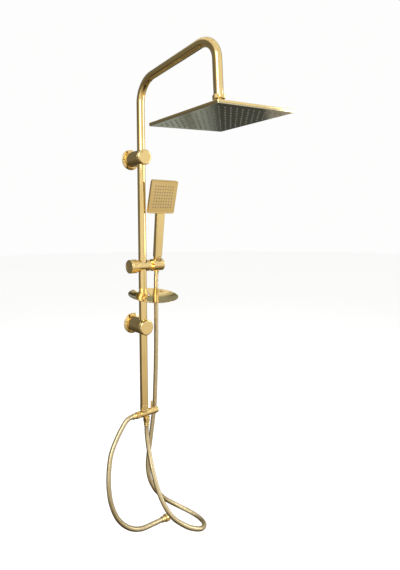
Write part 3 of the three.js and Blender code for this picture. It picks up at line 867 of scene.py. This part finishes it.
handset = {
    "plateWidth": 100,
    "plateHeight": 105,
    "corner": 6,
    "handleFoot": 26.3,
    "handleTop": 164,
    "plateFoot": 165,
    "plateTilt": 8,
    "nozzles": 8,
    "pitch": 9.4,
}
coneLine = softened([
    (0, -22), (9, -22), (9.2, -19.4), (8.8, -19), (8.8, -18.2), (9.25, -17.8), (9.35, -16.4), (8.95, -16),
    (8.95, -15.2), (9.5, -14.8), (9.6, -13), (11.2, 13), (12.5, 24), (12.5, 26), (0, 26),
], [0, 0.8, .2, .2, .2, .2, .2, .2, .2, .2, 0.5, 0.5, 1.5, 0.5, 0])
piece("coneNut", [turned(coneLine, cradlePlace, 72)], gold, "handset", ["hose_cone_nut"])

foot, top = handset["handleFoot"], handset["handleTop"]
handleEnds = softened([(6, foot), (0, foot), (0, foot + 12), (0, top - 12), (0, top), (6, top)],
                      [0, 1.0, 0.1, 0.1, 0.8, 0])
inset, level = handleEnds.T
upHandle = (level - foot) / (top - foot)
handleRing = outline(12.7 + 2.3 * upHandle - inset, 9 - 0.8 * upHandle - inset,
                     np.maximum(3 - inset * 0.5, 0.4))
handleLevels = np.broadcast_to(level[:, None, None], handleRing.shape[:2] + (1,))
handleRows = np.concatenate([handleRing, handleLevels], axis=-1)
handleFoot, handleTop = handleRows[:1] * [0, 0, 1], handleRows[-1:] * [0, 0, 1]
handleGrid = laid(np.concatenate([handleFoot, handleRows, handleTop]), cradlePlace)
sprayPlace = cradlePlace @ shift(0, 0, handset["plateFoot"]) @ turn("X", handset["plateTilt"])


def standing(back, foot, height):
    # local Z of a slab turned to face out of the spray plate, with its back at the given depth
    return sprayPlace @ shift(0, back, foot + height / 2) @ turn("X", 90)


wide, tall, corner = handset["plateWidth"], handset["plateHeight"], handset["corner"]
sprayShell = slab(wide, tall, corner, softened([(12, 0), (0, 0), (0, 8), (12, 8)], [0, 3.2, 0.5, 0]),
                  standing(4.5, 0, tall))
neck = slab(28, 8, 3, softened([(2, -4), (0, -4), (0, 8), (2, 8)], [0, 0.4, 0.4, 0]),
            sprayPlace @ shift(0, 0.5, 0))
piece("handsetBody", [handleGrid, sprayShell, neck], gold, "handset", ["handset_body"])
faceLine = softened([(12, 0), (0, 0), (0, 2), (3.2, 2), (3.8, 1.5), (12, 1.5)], [0, 0.3, 0.5, 0.3, 0.3, 0])
sprayFace = slab(wide, tall, corner, faceLine, standing(-3.8, 0, tall))
piece("handsetFace", [sprayFace], gold, "handset", ["handset_face_plate"])
jetCount, jetPlace = handset["nozzles"], standing(-3.8, 0, tall)
jetLine = [(0, 1.2), (1.3, 1.2), (1.2, 1.8), (0.8, 2.2), (0.4, 2.2), (0.3, 1.6), (0, 1.6)]
jets = nozzleField(jetCount, jetCount, handset["pitch"], jetLine, 10, jetPlace)
piece("handsetJets", [jets], silicone, "handset")
# a near-black ring round each jet: painted shade standing in for the shaded recess round it
jetShadeRingLine = [(0, 1.1), (2.3, 1.1), (2.3, 1.56), (1.7, 1.56), (1.4, 1.3), (0, 1.3)]
jetShadeRings = nozzleField(jetCount, jetCount, handset["pitch"], jetShadeRingLine, 12, jetPlace)
piece("handsetJetShadeRings", [jetShadeRings], plastic, "handset")
print("handset made")

# ---- soap dish ----

dish = {
    "radius": 75.8,
    "depth": 16,
    "wall": 1.6,
    "out": 120,
    "droop": 8,
    "collarDrop": 15,
    "notchFoot": (10, 33),
    "notchMouth": (24, 72),
    "collarRadius": 17,
    "collarBore": 12.8,
}
collarCentre = middle("dish_clamp_collar")[2]
collarPlace = shift(0, railCentre[1], collarCentre + 1)
dishPlace = (shift(0, railCentre[1], collarCentre + dish["collarDrop"]) @ turn("X", dish["droop"])
             @ shift(0, -dish["out"] - railCentre[1], 0))


def dishGrid():
    # Distance to the edge at each angle from the back: the circle, or the notch's flat foot
    # (foot / cos a), or its slanting sides. Height is a paraboloid, depth ((r / radius) squared - 1).
    footX, footY = dish["notchFoot"]
    mouthX, mouthY = dish["notchMouth"]
    slant = (mouthX - footX) / (mouthY - footY)
    inner, outer = math.atan2(footX, footY), math.atan2(mouthX, mouthY)
    plain = np.linspace(outer, 2 * np.pi - outer, 130)
    side = np.linspace(inner, outer, 12, endpoint=False)
    flat = np.linspace(-inner, inner, 16, endpoint=False)
    angle = np.concatenate([flat, side, plain, 2 * np.pi - side[1:][::-1]])
    bent = np.abs(np.mod(angle + np.pi, 2 * np.pi) - np.pi)
    onFoot = footY / np.cos(np.minimum(bent, 1.2))
    onSide = (footX - slant * footY) / (np.sin(bent) - slant * np.cos(bent) - 1e-9)
    edge = np.where(bent <= inner + 1e-6, onFoot, np.where(bent < outer - 1e-6, onSide, dish["radius"]))
    edge = np.minimum(edge, dish["radius"])[None, :]
    wall = dish["wall"]
    share = np.linspace(0, 1, 22)[:, None] ** 0.8
    under, over = share * (edge - 0.7), share[::-1] * (edge - 0.7)
    curl = np.radians(np.linspace(-70, 70, 7))[:, None]
    rimR = edge - 0.8 + 0.8 * np.cos(curl)
    r = np.concatenate([under, rimR, over])
    offset = np.concatenate([0 * under - wall, 0 * rimR - wall / 2 + wall / 2 * np.sin(curl), 0 * over])
    z = -dish["depth"] * (1 - (r / dish["radius"]) ** 2) + offset
    return np.stack([r * np.sin(angle), r * np.cos(angle), z], axis=-1)


piece("soapDish", [laid(dishGrid(), dishPlace)], gold, "soap_dish", ["soap_dish"])
collarLine = softened([
    (dish["collarBore"], -9), (dish["collarRadius"], -9), (dish["collarRadius"], 7), (dish["collarBore"], 7),
], [0.4, 1.2, 1.2, 0.4], closed=True)
lug = slab(12, 9, 1.2, softened([(2, -4.5), (0, -4.5), (0, 4.5), (2, 4.5)], [0, 0.8, 0.8, 0]),
           collarPlace @ shift(0, -17, 0))
piece("dishCollar", [(turned(collarLine, collarPlace, 72), True), lug], gold, "soap_dish",
      ["dish_clamp_collar"])
print("soap dish made")

# ---- diverter ----

diverter = {"radius": 10, "neck": 8, "unionRadius": 12.9, "leverRadius": 3, "leverTop": 31, "pinX": 28}
barrelPlace = valvePlace @ turn("Y", 90)
radius, neckRadius = diverter["radius"], diverter["neck"]
bodyShape = turned(softened([
    (0, -14), (radius, -14), (radius, 15.4), (radius - 0.4, 15.8), (radius - 0.4, 16.6), (radius, 17),
    (radius, 20), (0, 20),
], [0, 0.9, .2, .2, .2, .2, 0.5, 0]), barrelPlace, 72)
inletNeck = turned(softened([(0, -24), (neckRadius, -24), (neckRadius, -13), (0, -13)], 0.5), barrelPlace, 64)
outletNeck = turned(softened([(0, -20), (neckRadius, -20), (neckRadius, -2), (0, -2)], 0.5),
                    valvePlace @ shift(8, 0, 0), 64)
spigot = turned(softened([(0, 2), (9.5, 2), (9.5, 47.5), (0, 47.5)], 0.5), valvePlace, 64)
piece("diverterBody", [bodyShape, inletNeck, outletNeck, spigot], gold, "column", ["diverter_body"])
union = diverter["unionRadius"]
unionLine = softened([
    (9.8, 10.8), (union, 10.8), (union, 15), (union - 0.4, 15.4), (union - 0.4, 16.4), (union, 16.8),
    (union, 29.2), (9.8, 29.2),
], [0.3, 0.9, .2, .2, .2, .2, 0.9, 0.3], closed=True)
piece("railUnion", [(turned(unionLine, valvePlace, 72), True)], gold, "column", ["rail_union"])
gripLine = softened([
    (5.3, 20.3), (radius, 20.3), (radius, 22.6), (radius - 0.5, 23), (radius - 0.5, 24), (radius, 24.4),
    (radius, 34), (radius - 0.5, 34.4), (radius - 0.5, 35.4), (radius, 35.8), (radius, 38), (5.3, 38),
], [0.3, 0.5, .2, .2, .2, .2, .2, .2, .2, .2, 0.5, 0.3], closed=True)
piece("diverterKnob", [(turned(gripLine, barrelPlace, 72), True)], gold, "diverter_handle",
      ["diverter_knob"])
pin, tip = diverter["leverRadius"], diverter["leverTop"]
pinLine = softened([
    (0, 6.3), (pin, 6.3), (pin, 24.6), (pin - 0.5, 25), (pin - 0.5, 26), (pin, 26.4), (pin, tip),
    (0, tip),
], [0, 0.3, .2, .2, .2, .2, 1.6, 0])
pinPlace = valvePlace @ shift(diverter["pinX"], 0, 0)
piece("diverterLever", [turned(pinLine, pinPlace, 40)], gold, "diverter_handle", ["diverter_lever"])
endLine = softened([(0, 38.3), (radius, 38.3), (radius, 48), (radius - 3, 51), (0, 51)],
                   [0, 0.5, 1.6, 1.8, 0])
piece("diverterEnd", [turned(endLine, barrelPlace, 72)], gold, "diverter_handle", ["diverter_end_cap"])
print("diverter made")

# ---- small parts that keep their CAD shape ----

kept = {
    "gold": ["lower_wall_post", "upper_wall_post", "rail_joint_sleeve", "diverter_spindle"],
    "steel": ["lower_set_screw", "upper_set_screw", "slider_knob_screw", "dish_clamp_screw"],
    "plastic": ["ball_liner", "slider_bush", "cradle_insert"],
    "silicone": ["head_nozzle_mat", "handset_nozzle_mat"],
}
for name, nodes in kept.items():
    for node in nodes:
        frame["nodes"][node].data.materials.clear()
        frame["nodes"][node].data.materials.append(finishes[name])

# ---- floor, surroundings and lights ----

studio = {
    "floorDrop": 0.03,
    "pale": (0.985, 0.985, 0.982),
    "floor": (0.985, 0.985, 0.98),
    # what polished metal sees by height: straight down, low, level and above
    "heights": [
        (-1, (0.05, 0.045, 0.03)), (-0.82, (0.10, 0.09, 0.06)), (-0.62, (0.42, 0.37, 0.29)),
        (-0.42, (0.62, 0.55, 0.46)), (-0.14, (0.97, 0.96, 0.93)), (1, (0.95, 0.94, 0.91)),
    ],
    # and how much of that near the horizon, by degrees from straight at the wall towards the right
    "around": [
        (-180, (1, 1, 1)), (-98, (1, 1, 1)), (-80, (0.20, 0.19, 0.17)), (-20, (0.19, 0.19, 0.18)),
        (20, (0.20, 0.20, 0.19)), (32, (0.33, 0.37, 0.36)), (43.2, (0.33, 0.37, 0.36)),
        (44.2, (0.065, 0.07, 0.065)), (51.2, (0.075, 0.08, 0.075)), (52.4, (0.62, 0.60, 0.54)),
        (84, (0.50, 0.47, 0.40)), (112, (1, 1, 1)), (180, (1, 1, 1)),
    ],
    "clutter": (0.30, 0.24, 0.15),
}


def makeFloor():
    level = cadBox[0][2] - studio["floorDrop"]
    radius = np.linspace(0, 14, 12)[:, None]
    angle = np.arange(72)[None, :] * 2 * np.pi / 72
    points = np.stack([radius * np.cos(angle), radius * np.sin(angle), level + 0 * radius * angle], axis=-1)
    data = meshFrom("floor", [points / mm])
    floor = placed("floor", data)
    paint = bpy.data.materials.new("paleFloor")
    paint.use_nodes = True
    shader = paint.node_tree.nodes["Principled BSDF"]
    shader.inputs["Base Color"].default_value = (*studio["floor"], 1)
    shader.inputs["Roughness"].default_value = 0.9
    data.materials.append(paint)
    floor.visible_glossy = False


def ramped(nodes, links, value, low, high, stops):
    # a colour ramp over a value that runs from low to high; the stops are (value, colour)
    spread = nodes.new("ShaderNodeMapRange")
    spread.inputs["From Min"].default_value, spread.inputs["From Max"].default_value = low, high
    links.new(value, spread.inputs["Value"])
    ramp = nodes.new("ShaderNodeValToRGB")
    line = ramp.color_ramp.elements
    for place, colour in stops[1:-1]:
        line.new((place - low) / (high - low)).color = (*colour, 1)
    line[0].color, line[len(line) - 1].color = (*stops[0][1], 1), (*stops[-1][1], 1)
    links.new(spread.outputs["Result"], ramp.inputs["Fac"])
    return ramp.outputs["Color"]


def makeWorld():
    # Plain and pale where it is seen or where it lights the floor. Polished metal sees a room
    # instead: bright above, dark straight below, and darker walls to one side.
    world = bpy.data.worlds.new("softRoom")
    bpy.context.scene.world = world
    world.use_nodes = True
    nodes, links = world.node_tree.nodes, world.node_tree.links
    where = nodes.new("ShaderNodeTexCoord").outputs["Generated"]
    split = nodes.new("ShaderNodeSeparateXYZ")
    links.new(where, split.inputs["Vector"])
    heights = ramped(nodes, links, split.outputs["Z"], -1, 1, studio["heights"])
    bearing = nodes.new("ShaderNodeMath")
    bearing.operation = "ARCTAN2"
    links.new(split.outputs["X"], bearing.inputs[0])
    links.new(split.outputs["Y"], bearing.inputs[1])
    around = ramped(nodes, links, bearing.outputs["Value"], -math.pi, math.pi,
                    [(math.radians(degrees), colour) for degrees, colour in studio["around"]])
    band = ramped(nodes, links, split.outputs["Z"], -1, 1, [
        (-1, (0, 0, 0)), (-0.72, (0, 0, 0)), (-0.6, (1, 1, 1)), (0.62, (1, 1, 1)), (0.76, (0, 0, 0)),
        (1, (0, 0, 0)),
    ])
    room = nodes.new("ShaderNodeMix")
    room.data_type, room.blend_type = "RGBA", "MULTIPLY"
    links.new(band, room.inputs[0])
    links.new(heights, room.inputs[6])
    links.new(around, room.inputs[7])
    # a scatter of darker things all round the room
    things = nodes.new("ShaderNodeTexNoise")
    things.inputs["Scale"].default_value = 9
    things.inputs["Detail"].default_value = 3
    links.new(where, things.inputs["Vector"])
    dark = nodes.new("ShaderNodeMapRange")
    dark.inputs["From Min"].default_value, dark.inputs["From Max"].default_value = 0.58, 0.66
    links.new(things.outputs["Fac"], dark.inputs["Value"])
    furnished = nodes.new("ShaderNodeMix")
    furnished.data_type, furnished.blend_type = "RGBA", "MULTIPLY"
    furnished.inputs[7].default_value = (*studio["clutter"], 1)
    links.new(dark.outputs["Result"], furnished.inputs[0])
    links.new(room.outputs[2], furnished.inputs[6])
    path = nodes.new("ShaderNodeLightPath")
    seen = nodes.new("ShaderNodeMix")
    seen.data_type = "RGBA"
    seen.inputs[6].default_value = (*studio["pale"], 1)
    links.new(path.outputs["Is Glossy Ray"], seen.inputs[0])
    links.new(furnished.outputs[2], seen.inputs[7])
    links.new(seen.outputs[2], nodes["Background"].inputs["Color"])


lamps = {
    "key": {"place": (-1.6, -1.7, 1.5), "aim": (0, -0.1, 0.1), "size": (1.0, 1.5), "power": 26,
            "shines": True},
    "fill": {"place": (1.9, -1.5, 0.7), "aim": (0, -0.1, 0.0), "size": (0.7, 1.4), "power": 14,
             "shines": True},
    "back": {"place": (0.6, 1.7, 1.6), "aim": (0, 0, 0.2), "size": (1.2, 0.8), "power": 10,
             "shines": False},
}


def makeLamps():
    for name, lamp in lamps.items():
        data = bpy.data.lights.new(name, "AREA")
        data.shape = "RECTANGLE"
        data.size, data.size_y = lamp["size"]
        data.energy = lamp["power"]
        data.color = (1, 0.96, 0.9)
        made = placed(name, data)
        made.visible_glossy = lamp["shines"]
        aim = Vector(lamp["aim"]) - Vector(lamp["place"])
        facing = aim.to_track_quat("-Z", "Y").to_matrix().to_4x4()
        made.matrix_world = Matrix.Translation(lamp["place"]) @ facing


makeFloor()
makeWorld()
makeLamps()
bpy.context.scene.view_settings.view_transform = "Standard"
print("studio lit")
